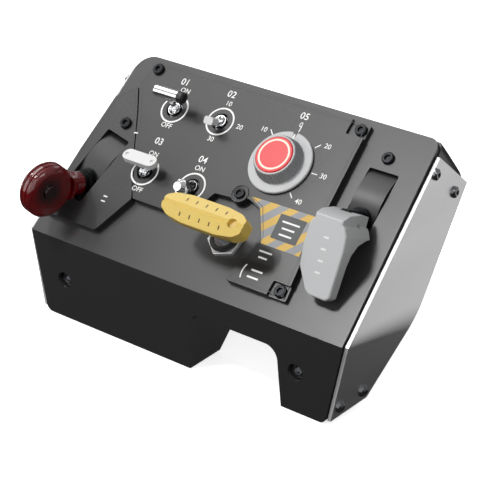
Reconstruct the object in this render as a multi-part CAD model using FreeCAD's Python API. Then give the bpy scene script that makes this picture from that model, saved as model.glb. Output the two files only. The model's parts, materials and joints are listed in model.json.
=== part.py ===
"""Desk-top flight control panel: sloping housing, two drum levers, four toggles,
a rotary knob with a push button and a pull-and-turn T-handle. All lengths in mm.
Panel pieces are built flat (u across, v up the slope, n out of it) and then set in place."""
import FreeCAD, Part
import math
import os

V = FreeCAD.Vector

# ---- housing
TILT = 40.44            # slope of the panel above the horizontal
FRONT_HEIGHT = 47.7     # upright front below the bend
FOOT_CENTRE = 16.0      # middle of the bolt pattern behind the upright front
PANEL_LENGTH = 119.5
PANEL_T = 3.0
HALF_WIDTH = 105.0      # half width at the bend
KNEE_SLOPE = 8.0        # fall of the side knee line towards the rear
LEAN_UP = 0.0619        # inward lean of the sides above the knee
LEAN_DOWN = 0.196       # inward lean below it
WALL = 1.8
SIDE_GAP = 0.6          # shadow gap beside the panel, and the shell's step out
SIDE_PLATE_T = 2.0
FIT = 0.35              # gap between pieces that move past each other
RUN = 0.05              # running fit, radial

# ---- front notch, (x, z above the foot)
NOTCH = [(8.1, -1.0), (9.8, 33.2), (64.9, 33.2), (68.2, -1.0)]

# ---- mounting and screws
BOLT_X, BOLT_Y, BOLT_R, BOLT_DEPTH = 81.5, 8.0, 2.1, 12.0
FRONT_SCREWS = [(-81.6, 23.2), (77.1, 23.2)]
SIDE_SCREWS = [(81.7, 63.0), (99.3, 46.9), (26.0, -38.8), (6.6, -39.0)]

# ---- raised plates
PLATE_T = 4.0
TOGGLES = {"bar": (-56.8, 91.1), "tab": (-25.4, 92.1), "paddle": (-53.0, 51.6), "bat": (-20.5, 51.7)}
TOGGLE_HOLE_R, TOGGLE_BUSHING_R, TOGGLE_PIVOT = 5.0, 3.6, 2.2
PIVOT_R, PIVOT_W, PIVOT_BORE = 2.0, 1.28, 2.4
TOGGLE_REST = {"bar": -15.0, "tab": 24.0, "paddle": -15.0, "bat": 24.0}
KNOB = (23.0, 80.0)
BRAKE = (14.0, 32.0)
PLATE_SCREWS = [(-80.4, 110.7, 4.0), (56.1, 111.1, 2.4), (60.0, 15.1, 2.4),
                (-81.3, 74.4, 4.0)]
PANEL_SCREW = (77.1, 101.6, 0.0)

# ---- levers: hinge place, rest angle below the panel normal, turn in the panel, slot ends,
# and how far the bracket reaches behind the hinge
WHEEL = dict(hinge=(-84.7, 52.0, -27.1), rest=35.6, turn=12.0, slot=(-28.0, 14.8), depth=12.0)
PADDLE = dict(hinge=(78.6, 80.0, -29.8), rest=26.0, turn=0.0, slot=(-22.5, 14.3), depth=8.4)
SLOT_W = 18.0
DRUM_R, DRUM_W = 31.4, 17.2
AXLE_R, AXLE_L, HUB_R = 3.0, 13.4, 6.5
BUSH_R, BRACKET_IN, BRACKET_T = 4.2, 9.6, 2.0
ARM_R, ARM_OFF = 6.0, 2.5
GRIP_AT, GRIP_R, GRIP_W = 60.0, 15.3, 11.2
PADDLE_ARM_R, PADDLE_FACE = 5.0, 61.0


# ---- helpers
def prism(points, base, height):
    """Straight-sided polygon in the u,v plane, raised along n."""
    wire = Part.makePolygon([V(x, y, base) for x, y in points + points[:1]])
    return Part.Face(wire).extrude(V(0, 0, height))


def rounded(points, radii, base, height):
    """Polygon prism with a radius on each corner."""
    count = len(points)
    if not isinstance(radii, (list, tuple)):
        radii = [radii] * count
    edges, ends = [], []
    for i, (x, y) in enumerate(points):
        here, r = V(x, y, base), radii[i]
        before = V(*points[i - 1], base) - here
        after = V(*points[(i + 1) % count], base) - here
        angle = before.getAngle(after)
        if r <= 0:
            ends.append((here, here, None))
            continue
        cut = r / math.tan(angle / 2)
        before.normalize()
        after.normalize()
        middle = before + after
        middle.normalize()
        tip = here + middle * (r / math.sin(angle / 2) - r)
        ends.append((here + before * cut, here + after * cut, tip))
    for i, (start, stop, tip) in enumerate(ends):
        if tip is not None:
            edges.append(Part.Arc(start, tip, stop).toShape())
        following = ends[(i + 1) % count][0]
        if stop.distanceToPoint(following) > 1e-6:
            edges.append(Part.makeLine(stop, following))
    return Part.Face(Part.Wire(edges)).extrude(V(0, 0, height))


def disc(r, base, height, at=(0, 0)):
    return Part.makeCylinder(r, height, V(at[0], at[1], base))


def cone(r1, r2, base, height, at=(0, 0)):
    return Part.makeCone(r1, r2, height, V(at[0], at[1], base))


def tube(r_out, r_in, base, height, at=(0, 0)):
    return disc(r_out, base, height, at).cut(disc(r_in, base, height, at))


def box(x0, x1, y0, y1, z0, z1):
    return Part.makeBox(x1 - x0, y1 - y0, z1 - z0, V(x0, y0, z0))


def along_x(r, x0, x1, y=0.0, z=0.0):
    return Part.makeCylinder(r, x1 - x0, V(x0, y, z), V(1, 0, 0))


def hexagon(across, base, height, at=(0, 0), turn=0.0):
    r = across / math.sqrt(3)
    angles = [math.radians(60 * i + turn) for i in range(6)]
    return prism([(at[0] + r * math.cos(a), at[1] + r * math.sin(a)) for a in angles], base, height)


def fused(shapes):
    first = shapes[0]
    return first.multiFuse(shapes[1:]).removeSplitter() if len(shapes) > 1 else first


def group(shapes):
    return Part.makeCompound(shapes)


def on_panel(shape):
    """From the flat panel frame to the row's frame."""
    out = shape.copy()
    out.rotate(V(0, 0, 0), V(1, 0, 0), TILT)
    out.translate(V(0, -FOOT_CENTRE, FRONT_HEIGHT))
    return out


def side_profile(points, x0, x1):
    """Outline in the upright middle plane (y behind the front, z from the bend), widened in x."""
    corners = [V(x0, y - FOOT_CENTRE, z + FRONT_HEIGHT) for y, z in points + points[:1]]
    return Part.Face(Part.makePolygon(corners)).extrude(V(x1 - x0, 0, 0))


def panel_point(v, n):
    """Middle-plane place (y, z) of a point on the sloping panel."""
    c, s = math.cos(math.radians(TILT)), math.sin(math.radians(TILT))
    return (c * v - s * n, s * v + c * n)


def half_width(y, z, off=0.0):
    k = math.radians(KNEE_SLOPE)
    m = math.sin(k) * y + math.cos(k) * z
    return HALF_WIDTH + off - (LEAN_UP * m if m > 0 else -LEAN_DOWN * m)


def envelope(off):
    """Everything between the two kneed sides, moved out by off."""
    up, down = 140.0, 90.0
    wu, wk, wd = HALF_WIDTH + off - LEAN_UP * up, HALF_WIDTH + off, HALF_WIDTH + off - LEAN_DOWN * down
    face = [(-wu, up), (-wk, 0), (-wd, -down), (wd, -down), (wk, 0), (wu, up)]
    solid = Part.Face(Part.makePolygon([V(x, 0, m) for x, m in face + face[:1]])).extrude(V(0, 300, 0))
    solid.translate(V(0, -100, 0))
    solid.rotate(V(0, 0, 0), V(1, 0, 0), -KNEE_SLOPE)
    solid.translate(V(0, -FOOT_CENTRE, FRONT_HEIGHT))
    return solid


# ---- housing
PANEL_TOP = panel_point(PANEL_LENGTH, 0)
REAR_HIGH, REAR_LOW = (114.6, 50.6), (25.0, -FRONT_HEIGHT)
REAR_SLOPE = math.atan2(REAR_HIGH[1] - REAR_LOW[1], REAR_HIGH[0] - REAR_LOW[0])


def notch(grow):
    """The leg space in the upright front, open below and right through to the rear."""
    (x0, z0), (x1, z1), (x2, z2), (x3, z3) = NOTCH
    points = [(x0 - grow, z0), (x1 - grow, z1 + grow), (x2 + grow, z2 + grow), (x3 + grow, z3)]
    shape = rounded(points, [0, 3.5, 8.0, 0], 0, 120)
    shape.rotate(V(0, 0, 0), V(1, 0, 0), 90)
    shape.translate(V(0, 100, 0))
    return shape


def lever_frame(shape, lever):
    """From a lever's own frame (x along its axle, z out of the panel) to the row's frame."""
    out = shape.copy()
    out.rotate(V(0, 0, 0), V(0, 0, 1), -lever["turn"])
    out.translate(V(*lever["hinge"]))
    return on_panel(out)


def at_rest(shape, lever):
    """A piece built straight up its arm, laid down to the rest angle."""
    out = shape.copy()
    out.rotate(V(0, 0, 0), V(1, 0, 0), lever["rest"])
    return lever_frame(out, lever)


def bracket_holes():
    """Screw places of both lever brackets in the panel plane."""
    places = []
    for lever, inner in ((WHEEL, 1), (PADDLE, -1)):
        t = math.radians(lever["turn"])
        for w in (-9.0, 9.0):
            a = inner * 16.0
            places.append((lever["hinge"][0] + a * math.cos(t) + w * math.sin(t),
                           lever["hinge"][1] - a * math.sin(t) + w * math.cos(t)))
    return places


def slot_cut(lever, extra=0.0):
    """Slot with the drum's clearance behind it."""
    low, high = lever["slot"]
    w = SLOT_W / 2 + extra
    points = [(-w, low - extra), (w, low - extra), (w, high + extra), (-w, high + extra)]
    opening = rounded(points, 1.2, 10, 60)
    sweep = along_x(DRUM_R + FIT, -w, w)
    return lever_frame(opening.fuse(sweep), lever)


def side_axis(y, z, side):
    """Point on the outer side plate and the outward direction there."""
    lean = LEAN_UP if z > -10 else -LEAN_DOWN
    k = math.radians(KNEE_SLOPE)
    out = V(side, lean * math.sin(k), lean * math.cos(k))
    out.normalize()
    x = half_width(y, z, SIDE_GAP + SIDE_PLATE_T)
    return V(side * x, y - FOOT_CENTRE, z + FRONT_HEIGHT), out


def top_corners(off, rise, radii):
    """Plan outline of the slope with its two rounded upper corners (right, left)."""
    top = half_width(*PANEL_TOP) + off
    side = HALF_WIDTH + off - LEAN_UP * 90 * math.sin(math.radians(TILT + KNEE_SLOPE))
    high, wide = PANEL_LENGTH + rise, HALF_WIDTH + off + 9
    keep = [(-wide, -90), (wide, -90), (wide, 60), (side, 90), (top, high), (-top, high), (-side, 90),
            (-wide, 60)]
    return on_panel(rounded(keep, [0, 0, 0, 0, radii[0], radii[1], 0, 0], -80, 90))


def foot_corners(y0, y1):
    """What a 4 mm radius takes off the two lower corners between two depths."""
    w, r = half_width(0, -FRONT_HEIGHT), 4.0
    tools = []
    for side in (-1, 1):
        x0, x1 = sorted((side * (w - r + 0.6), side * (w + 5)))
        block = box(x0, x1, y0 - FOOT_CENTRE, y1 - FOOT_CENTRE, -1, r)
        pin = Part.makeCylinder(r, y1 - y0 + 2, V(side * (w - r + 0.6), y0 - FOOT_CENTRE - 1, r), V(0, 1, 0))
        tools.append(block.cut(pin))
    return tools[0].fuse(tools[1])


def make_front_panel():
    back = [(0, -PANEL_T), (PANEL_LENGTH, -PANEL_T)]
    inner = [panel_point(v, n) for v, n in back]
    corner = (PANEL_T, -math.tan(math.radians((90 - TILT) / 2)) * PANEL_T)
    points = [(0, -FRONT_HEIGHT), (0, 0), PANEL_TOP, inner[1], corner, (PANEL_T, -FRONT_HEIGHT)]
    shape = side_profile(points, -120, 120).common(envelope(0.0))
    shape = shape.common(top_corners(0.0, 0.0, (6.0, 11.0)))
    for lever in (WHEEL, PADDLE):
        shape = shape.cut(slot_cut(lever, 0.3 if lever is WHEEL else 0.0))
    for at in TOGGLES.values():
        shape = shape.cut(on_panel(disc(TOGGLE_BUSHING_R, -5, 10, at)))
    shape = shape.cut(on_panel(disc(5.5, -5, 10, KNOB)))
    shape = shape.cut(on_panel(disc(6.0, -5, 10, BRAKE)))
    for u, v, _ in PLATE_SCREWS + [PANEL_SCREW]:
        shape = shape.cut(on_panel(disc(1.5, -5, 10, (u, v))))
    for u, v in bracket_holes():
        shape = shape.cut(on_panel(disc(1.5, -PANEL_T - 1, 3.0, (u, v))))
    shape = shape.cut(notch(0.0)).cut(foot_corners(-1, PANEL_T))
    bosses = []
    for x, z in FRONT_SCREWS:
        y = -FOOT_CENTRE
        boss = Part.makeCylinder(7.0, 9.0, V(x, y, z), V(0, 1, 0))
        bosses.append(boss)
    shape = fused([shape] + bosses)
    for x, z in FRONT_SCREWS:
        y = -FOOT_CENTRE
        shape = shape.cut(Part.makeCylinder(4.8, 7.0, V(x, y - 1, z), V(0, 1, 0)))
        shape = shape.cut(Part.makeCylinder(2.5, 12.0, V(x, y, z), V(0, 1, 0)))
    return shape


def rear_profile(off):
    """Rear outline moved in by off; the front edge follows the back of the panel."""
    foot = off / math.sin(REAR_SLOPE) + off / math.tan(REAR_SLOPE)
    top = panel_point(PANEL_LENGTH, -PANEL_T)
    lead = (PANEL_T, -math.tan(math.radians((90 - TILT) / 2)) * PANEL_T)
    return [lead, (top[0] - off * 0.4, top[1] - off * 0.4 * math.tan(math.radians(TILT))),
            (110.2 - off * 0.9, 58.6 - off * 1.25), (REAR_HIGH[0] - off * 1.35, REAR_HIGH[1] - off * 0.35),
            (REAR_LOW[0] - foot + off, -FRONT_HEIGHT + off), (PANEL_T, -FRONT_HEIGHT + off)]


def make_rear_shell():
    outer = side_profile(rear_profile(0.0), -120, 120).common(envelope(SIDE_GAP))
    back = [e for e in outer.Edges if e.BoundBox.XLength > 150.0 and e.BoundBox.YMin > 85.0]
    outer = outer.makeFillet(3.0, back)
    outer = outer.common(top_corners(SIDE_GAP, 3.0, (9.0, 14.0)))
    inner = side_profile(rear_profile(WALL), -120, 120).common(envelope(SIDE_GAP - WALL))
    inner = inner.common(top_corners(SIDE_GAP - WALL, 3.0, (9.0, 14.0)))
    shape = outer.cut(inner)
    extra = [outer.common(notch(WALL))]
    for side in (-1, 1):
        x0, x1 = sorted((side * 74.0, side * 89.0))
        block = box(x0, x1, PANEL_T - FOOT_CENTRE, 29 - FOOT_CENTRE, 0, 14)
        upper = box(x0, x1, 9 - FOOT_CENTRE, 31 - FOOT_CENTRE, 14, 31)
        extra.append(outer.common(block.fuse(upper)))
    behind = on_panel(box(-130, 130, -80, 160, -90, -PANEL_T))
    for side in (-1, 1):
        for y, z in SIDE_SCREWS:
            place, out = side_axis(y, z, side)
            start = place - out * (SIDE_PLATE_T + 0.2)
            extra.append(Part.makeCylinder(3.6, 7.0, start, out * -1).common(outer).common(behind))
    shape = fused([shape] + extra)
    shape = shape.cut(notch(0.0)).cut(foot_corners(PANEL_T, 7.0))
    for x, z in FRONT_SCREWS:
        shape = shape.cut(Part.makeCylinder(2.5, 20.0, V(x, -FOOT_CENTRE, z), V(0, 1, 0)))
        shape = shape.cut(Part.makeCylinder(7.3, 9.0, V(x, -FOOT_CENTRE, z), V(0, 1, 0)))
    for side in (-1, 1):
        for y, z in SIDE_SCREWS:
            place, out = side_axis(y, z, side)
            shape = shape.cut(Part.makeCylinder(1.5, 9.0, place, out * -1))
        for y in (-BOLT_Y, BOLT_Y):
            shape = shape.cut(Part.makeCylinder(BOLT_R, BOLT_DEPTH, V(side * BOLT_X, y, 0)))
    return shape.cut(usb_port(0.0))


USB_AT = (-30.0, 12.0)      # x, and height z above the bend, on the rear slope
USB_SIZE = (12.2, 11.0, 8.6)


def usb_port(shrink):
    """Port block square to the rear slope."""
    slope = math.degrees(REAR_SLOPE)
    w, h, depth = USB_SIZE
    shape = box(-w / 2 + shrink, w / 2 - shrink, -h / 2 + shrink, h / 2 - shrink, -depth, 1.0)
    shape.rotate(V(0, 0, 0), V(1, 0, 0), 90 + slope)
    shape.rotate(V(0, 0, 0), V(0, 0, 1), 180)
    x, z = USB_AT
    y = REAR_LOW[0] + (z + FRONT_HEIGHT) / math.tan(REAR_SLOPE)
    shape.translate(V(x, y - FOOT_CENTRE, z + FRONT_HEIGHT))
    return shape


def make_side_plate(side):
    points = [(86.0, 70.5), (112.0, 47.7), (31.5, -45.6), (0.9, -45.6), (1.9, -0.6)]
    slab = side_profile(points, 0, 130) if side > 0 else side_profile(points, -130, 0)
    shape = slab.common(envelope(SIDE_GAP + SIDE_PLATE_T)).cut(envelope(SIDE_GAP))
    for y, z in SIDE_SCREWS:
        place, out = side_axis(y, z, side)
        shape = shape.cut(Part.makeCylinder(1.5, 6.0, place + out, out * -1))
    return shape


def button_screw(place, out):
    """Low round-headed screw with a hexagon socket, head seated at place."""
    head = Part.makeCylinder(3.1, 0.9, V(0, 0, 0)).fuse(Part.makeCone(3.1, 1.9, 1.1, V(0, 0, 0.9)))
    shape = fused([head, Part.makeCylinder(1.5, 7.0, V(0, 0, -7.0))]).cut(hexagon(2.5, 0.9, 2.0))
    turn = FreeCAD.Rotation(V(0, 0, 1), out)
    shape.Placement = FreeCAD.Placement(place, turn)
    return shape


def make_side_plate_screws():
    return group([button_screw(*side_axis(y, z, side)) for side in (-1, 1) for y, z in SIDE_SCREWS])


# ---- raised plates on the panel
CENTRE = [(-87.0, 106.2), (-80.5, 115.6), (60.2, 115.6), (60.4, 100.0), (62.4, 40.0), (65.3, 10.8),
          (26.7, 10.8), (33.5, 31.0), (33.5, 38.5), (25.0, 52.5), (15.8, 56.0), (4.7, 53.5), (-5.1, 52.8),
          (-8.5, 46.2), (-3.5, 34.9), (-51.2, 34.9), (-68.6, 65.0), (-78.0, 83.0), (-87.6, 99.3)]
CENTRE_R = [1.5, 4.0, 1.5, 0, 0, 1.2, 1.2, 3, 3, 3, 6, 2, 1.5, 2, 3, 1.0, 3, 3, 1.2]
BEZEL = [(-98.0, 88.2), (-87.9, 98.2), (-78.3, 82.0), (-69.0, 64.3), (-51.8, 34.5), (-63.0, 11.0),
         (-102.4, 11.0), (-100.9, 52.0)]
BEZEL_R = [3.0, 1.2, 3, 3, 1.2, 3.0, 2.0, 0]


def toggle_holes(shape):
    for at in TOGGLES.values():
        shape = shape.cut(disc(TOGGLE_HOLE_R, -1, 9, at))
    return shape


def make_centre_plate():
    shape = toggle_holes(rounded(CENTRE, CENTRE_R, 0, PLATE_T))
    shape = shape.cut(disc(11.0, -1, 9, KNOB))
    for x0, x1, y0, y1 in ((49.1, 61.5, 106.6, 117.0), (54.0, 66.5, 9.0, 19.1)):
        recess = [(x0, y0), (x1, y0), (x1, y1), (x0, y1)]
        shape = shape.cut(rounded(recess, 0.8, 2.4, 4))
    for u, v, n in PLATE_SCREWS[:3]:
        shape = shape.cut(disc(1.5, -1, 9, (u, v)))
    return on_panel(shape)


def make_bezel():
    shape = rounded(BEZEL, BEZEL_R, 0, PLATE_T).cut(disc(1.5, -1, 9, PLATE_SCREWS[3][:2]))
    return on_panel(shape).cut(slot_cut(WHEEL))


def panel_screw(u, v, n, length=7.0):
    head = fused([disc(3.4, n, 1.3, (u, v)), cone(3.4, 2.8, n + 1.3, 0.5, (u, v))])
    shape = head.fuse(disc(1.5, n - length, length, (u, v))).removeSplitter()
    return on_panel(shape.cut(hexagon(3.0, n + 0.6, 3, (u, v))))


def front_screw(x, z):
    y = -FOOT_CENTRE
    shape = fused([Part.makeCylinder(4.2, 3.6, V(x, y + 2.4, z), V(0, 1, 0)),
                   Part.makeCylinder(2.5, 13.0, V(x, y + 6, z), V(0, 1, 0))])
    socket = hexagon(4.0, 0, 3.0)
    socket.rotate(V(0, 0, 0), V(1, 0, 0), -90)
    socket.translate(V(x, y + 1.4, z))
    return shape.cut(socket)


# ---- drum levers
def sector(r_out, r_in, low, high, x0, x1):
    """Ring sector about the axle; angles from the arm, positive up the slope."""
    a, b = math.radians(low), math.radians(high)
    mid = (a + b) / 2

    def at(r, t):
        return V(x0, r * math.sin(t), r * math.cos(t))
    edges = [Part.Arc(at(r_out, a), at(r_out, mid), at(r_out, b)).toShape(),
             Part.makeLine(at(r_out, b), at(r_in, b)),
             Part.Arc(at(r_in, b), at(r_in, mid), at(r_in, a)).toShape(),
             Part.makeLine(at(r_in, a), at(r_out, a))]
    return Part.Face(Part.Wire(edges)).extrude(V(x1 - x0, 0, 0))


def make_drum(lever, arm_r, arm_off, boss_r, low, high):
    w = DRUM_W / 2
    shapes = [sector(DRUM_R, DRUM_R - 2.0, low, high, -w, w)]
    for x0, x1 in ((-w, -w + 1.6), (w - 1.6, w)):
        shapes.append(sector(DRUM_R - 1.0, 4.0, low, high, x0, x1))
    shapes.append(along_x(HUB_R, -w, w))
    shapes.append(disc(boss_r, 0, DRUM_R - 1.0, (0, arm_off)))
    shape = fused(shapes)
    shape = shape.cut(disc(arm_r, 9.0, DRUM_R, (0, arm_off)))
    return at_rest(shape.cut(along_x(AXLE_R, -w - 1, w + 1)), lever)


def make_axle(lever):
    shape = along_x(AXLE_R, -AXLE_L, AXLE_L)
    shape = shape.cut(box(AXLE_L - 3.0, AXLE_L + 1, 2.0, 4.0, -4, 4))
    return at_rest(shape, lever)


def make_wheel_arm():
    shape = fused([disc(ARM_R, 9.0, 32.0, (0, ARM_OFF)), disc(7.4, 30.9, 3.2, (0, ARM_OFF))])
    shape = shape.cut(sector(DRUM_R, 29.0, -40, 40, -9, 9).cut(disc(ARM_R, 9, 40, (0, ARM_OFF))))
    return at_rest(shape, WHEEL)


def make_wheel_neck():
    shape = fused([disc(6.6, 38.0, 5.0, (0, ARM_OFF)).cut(disc(ARM_R, 37, 4, (0, ARM_OFF))),
                   rounded([(-5.6, -5.4), (5.6, -5.4), (5.6, 8.6), (-5.6, 8.6)], 2.5, 43.0, 7.0)])
    shape = shape.cut(along_x(GRIP_R, -10, 10, 0, GRIP_AT))
    return at_rest(shape, WHEEL)


def make_wheel_grip():
    h, r = GRIP_W / 2, GRIP_R
    outline = [(-h, 4.0), (-h, r - 3.0), (-h + 1.2, r - 1.0), (-h + 2.6, r), (-2.6, r), (-2.2, r - 1.0),
               (-1.2, r - 1.0), (-0.8, r), (0.8, r), (1.2, r - 1.0), (2.2, r - 1.0), (2.6, r), (h - 2.6, r),
               (h - 1.2, r - 1.0), (h, r - 3.0), (h - 1.8, 6.5), (h - 1.8, 4.0)]
    face = Part.Face(Part.makePolygon([V(x, 0, q) for x, q in outline + outline[:1]]))
    shape = face.revolve(V(0, 0, 0), V(1, 0, 0), 360)
    shape.translate(V(0, 0, GRIP_AT))
    return at_rest(shape, WHEEL)


def make_wheel_hub():
    h = GRIP_W / 2
    shape = fused([along_x(4.0, -h - 0.6, h - 0.6, 0, GRIP_AT), along_x(5.0, -h - 1.4, -h, 0, GRIP_AT)])
    return at_rest(shape, WHEEL)


def make_paddle_arm():
    shape = disc(PADDLE_ARM_R, 9.0, 39.0)
    collar = disc(6.4, 30.9, 2.6)
    shape = fused([shape, collar]).cut(sector(DRUM_R, 29.0, -40, 40, -9, 9).cut(disc(PADDLE_ARM_R, 9, 40)))
    return at_rest(shape, PADDLE)


def make_paddle_grip():
    face = [(-9.2, -1.6), (9.6, -1.8), (12.2, -7.0), (12.8, -14.0), (11.6, -38.6), (9.4, -40.4),
            (-0.6, -40.2), (-3.4, -38.4), (-10.0, -27.6), (-11.2, -17.0), (-10.6, -6.0)]
    front = rounded(face, [3.5, 3.5, 3, 3, 1.5, 1.5, 1.5, 1.5, 5, 6, 3], 30, 40)
    side = [(PADDLE_FACE, 0.2), (PADDLE_FACE, -42), (54.5, -42), (54.0, -22), (52.6, -15.5), (48.5, -11.0),
            (42.0, -8.2), (38.4, -7.4), (38.4, 3.4), (46.0, 4.0), (56.0, 2.8)]
    side = Part.Face(Part.makePolygon([V(-20, w, q) for q, w in side + side[:1]])).extrude(V(40, 0, 0))
    body = front.common(side)
    neck = rounded([(-8.4, -9), (8.4, -9), (8.4, 8), (-8.4, 8)], 4.0, 30, 40).common(side)
    taper = [(-10, 30), (10, 30), (9, 64), (-9, 64)]
    taper = Part.Face(Part.makePolygon([V(x, -20, q) for x, q in taper + taper[:1]])).extrude(V(0, 60, 0))
    shape = fused([body, neck.common(taper)])
    edges = [e for e in shape.Edges if e.BoundBox.ZMin > PADDLE_FACE - 0.1 and e.Length > 1.0]
    shape = shape.makeFillet(1.1, edges)
    shape = shape.cut(disc(PADDLE_ARM_R, 30, 18))
    shape = shape.cut(along_x(1.3, 6.5, 12, -2.0, 46.0))
    return at_rest(shape, PADDLE)


def make_bracket(lever):
    """U-shaped lever bracket hung from the back of the panel."""
    top, deep = -lever["hinge"][2] - PANEL_T, lever["depth"]
    shapes = []
    for s in (-1, 1):
        x0, x1 = sorted((s * BRACKET_IN, s * (BRACKET_IN + BRACKET_T)))
        cheek = [(-9.0, -deep), (5.0, -deep), (9.0, 4.0 - deep), (9.0, 8.0), (15.0, top), (-15.0, top),
                 (-9.0, 8.0)]
        plate = Part.Face(Part.makePolygon([V(x0, w, q) for w, q in cheek + cheek[:1]]))
        shapes.append(plate.extrude(V(x1 - x0, 0, 0)))
    shapes.append(box(-BRACKET_IN - BRACKET_T, BRACKET_IN + BRACKET_T, -9, 5, -deep, 1.4 - deep))
    inner = 1 if lever is WHEEL else -1
    x0, x1 = sorted((inner * BRACKET_IN, inner * (BRACKET_IN + 11)))
    shapes.append(box(x0, x1, -15, 15, top - 2, top))
    x0, x1 = sorted((-inner * BRACKET_IN, -inner * (BRACKET_IN + 4)))
    shapes.append(box(x0, x1, -15, 15, top - 2, top))
    shape = fused(shapes).cut(along_x(BUSH_R, -20, 20))
    for w in (-9.0, 9.0):
        shape = shape.cut(disc(1.5, top - 4, 8, (inner * 16.0, w)))
    return lever_frame(shape, lever)


def make_bracket_screws():
    out = []
    for lever in (WHEEL, PADDLE):
        top = -lever["hinge"][2] - PANEL_T
        inner = 1 if lever is WHEEL else -1
        for w in (-9.0, 9.0):
            at = (inner * 16.0, w)
            shape = fused([disc(2.8, top - 4.0, 2.0, at), disc(1.5, top - 2.0, 4.0, at)])
            out.append(lever_frame(shape.cut(hexagon(2.5, top - 5, 2.2, at)), lever))
    return group(out)


def make_lever_bushes():
    out = []
    for lever in (WHEEL, PADDLE):
        for s in (-1, 1):
            x0, x1 = sorted((s * (BRACKET_IN - 0.6), s * BRACKET_IN))
            x2, x3 = sorted((s * BRACKET_IN, s * (BRACKET_IN + BRACKET_T)))
            shape = fused([along_x(5.6, x0, x1), along_x(BUSH_R, x2, x3)])
            out.append(lever_frame(shape.cut(along_x(AXLE_R + RUN, -20, 20)), lever))
    return group(out)


def make_lever_sensors():
    """Angle sensors round the inboard axle ends."""
    out = []
    for lever, s in ((WHEEL, 1), (PADDLE, -1)):
        x0, x1 = sorted((s * (BRACKET_IN + BRACKET_T), s * (BRACKET_IN + BRACKET_T + 6.0)))
        bore0, bore1 = sorted((s * (BRACKET_IN + BRACKET_T - 1), s * (AXLE_L + 0.6)))
        shape = fused([along_x(7.5, x0, x1), box(x0, x1, -4, 4, -8.2, 0)])
        out.append(lever_frame(shape.cut(along_x(AXLE_R + 0.4, bore0, bore1)), lever))
    return group(out)


# ---- toggles
def make_toggle_bodies():
    out = []
    for at in TOGGLES.values():
        u, v = at
        body = box(u - 6.5, u + 6.5, v - 6.0, v + 6.0, -19.0, -PANEL_T)
        shape = fused([body, disc(TOGGLE_BUSHING_R, -PANEL_T, PANEL_T + 4.6, at)])
        for k in (-4.2, 0.0, 4.2):
            shape = shape.fuse(box(u + k - 0.6, u + k + 0.6, v - 1.5, v + 1.5, -23.0, -19.0))
        shape = shape.cut(disc(PIVOT_BORE, TOGGLE_PIVOT - 2.6, 9, at))
        shape = shape.cut(cone(PIVOT_BORE, 3.3, TOGGLE_PIVOT + 0.5, 2.0, at))
        out.append(on_panel(shape.removeSplitter()))
    return group(out)


def make_toggle_nuts():
    out = []
    for at in TOGGLES.values():
        shape = hexagon(8.4, 0.0, 1.9, at, 15).cut(disc(TOGGLE_BUSHING_R, -1, 9, at))
        out.append(on_panel(shape))
    return group(out)


def tilted(shape, name):
    out = shape.copy()
    u, v = TOGGLES[name]
    out.rotate(V(0, 0, 0), V(1, 0, 0), TOGGLE_REST[name])
    out.translate(V(u, v, TOGGLE_PIVOT))
    return on_panel(out)


def stem(r_low, r_top, length):
    """Tapered toggle lever on a round trunnion that fills its bore."""
    return fused([along_x(PIVOT_R, -PIVOT_W, PIVOT_W), cone(r_low, r_top, 0, length)])


def make_bar_toggle():
    lever = stem(1.15, 2.0, 11.0)
    bar = along_x(3.2, -8.8, 7.2, 0, 13.2).fuse(disc(2.8, 10.0, 2.4)).removeSplitter()
    bar = bar.cut(cone(1.15, 2.0, 0, 11.0))
    cap = along_x(3.2, 7.2, 10.6, 0, 13.2).fuse(along_x(2.5, 10.6, 11.2, 0, 13.2)).removeSplitter()
    return [tilted(s, "bar") for s in (lever, bar, cap)]


def make_tab_toggle():
    lever = stem(1.15, 1.9, 9.0)
    tip = rounded([(-3.0, -2.1), (3.0, -2.1), (3.0, 2.1), (-3.0, 2.1)], 1.3, 7.0, 5.4)
    tip = tip.cut(cone(1.15, 1.9, 0, 9.0))
    return [tilted(s, "tab") for s in (lever, tip)]


def make_paddle_toggle():
    lever = stem(1.15, 1.8, 10.0)
    flat = rounded([(-11.2, -3.7), (11.2, -3.7), (11.2, 3.7), (-11.2, 3.7)], 3.6, 9.4, 3.0)
    flat = fused([flat, disc(2.7, 7.2, 2.4)]).cut(cone(1.15, 1.8, 0, 10.0))
    for x in (-8.6, 8.6):
        flat = flat.cut(disc(1.0, 11.9, 2, (x, 0)))
    return [tilted(s, "paddle") for s in (lever, flat)]


def make_bat_toggle():
    lever = stem(1.15, 2.4, 7.5)
    tip = fused([hexagon(7.4, 7.5, 3.6), cone(3.7, 2.4, 11.1, 3.0), cone(2.6, 3.7, 6.3, 1.2)])
    tip = tip.cut(cone(1.15, 2.4, 0, 7.5))
    return [tilted(s, "bat") for s in (lever, tip)]


# ---- rotary knob with push button
SHAFT_R, STEM_R, KNOB_BORE = 4.0, 2.0, 10.7


def make_selector_body():
    u, v = KNOB
    body = rounded([(u - 12, v - 12), (u + 12, v - 12), (u + 12, v + 12), (u - 12, v + 12)], 2.0, -17, 14)
    shape = fused([body, disc(5.5, -PANEL_T, PANEL_T + 3.0, KNOB)])
    return on_panel(shape.cut(disc(SHAFT_R + RUN, -14.6, 30, KNOB)))


def make_selector_nut():
    return on_panel(hexagon(14.0, 0.0, 2.2, KNOB, 10).cut(disc(5.5, -1, 9, KNOB)))


def make_selector_shaft():
    shape = disc(SHAFT_R, -14.2, 21.2, KNOB).cut(disc(STEM_R + RUN, -12.5, 30, KNOB))
    return on_panel(shape)


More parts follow.
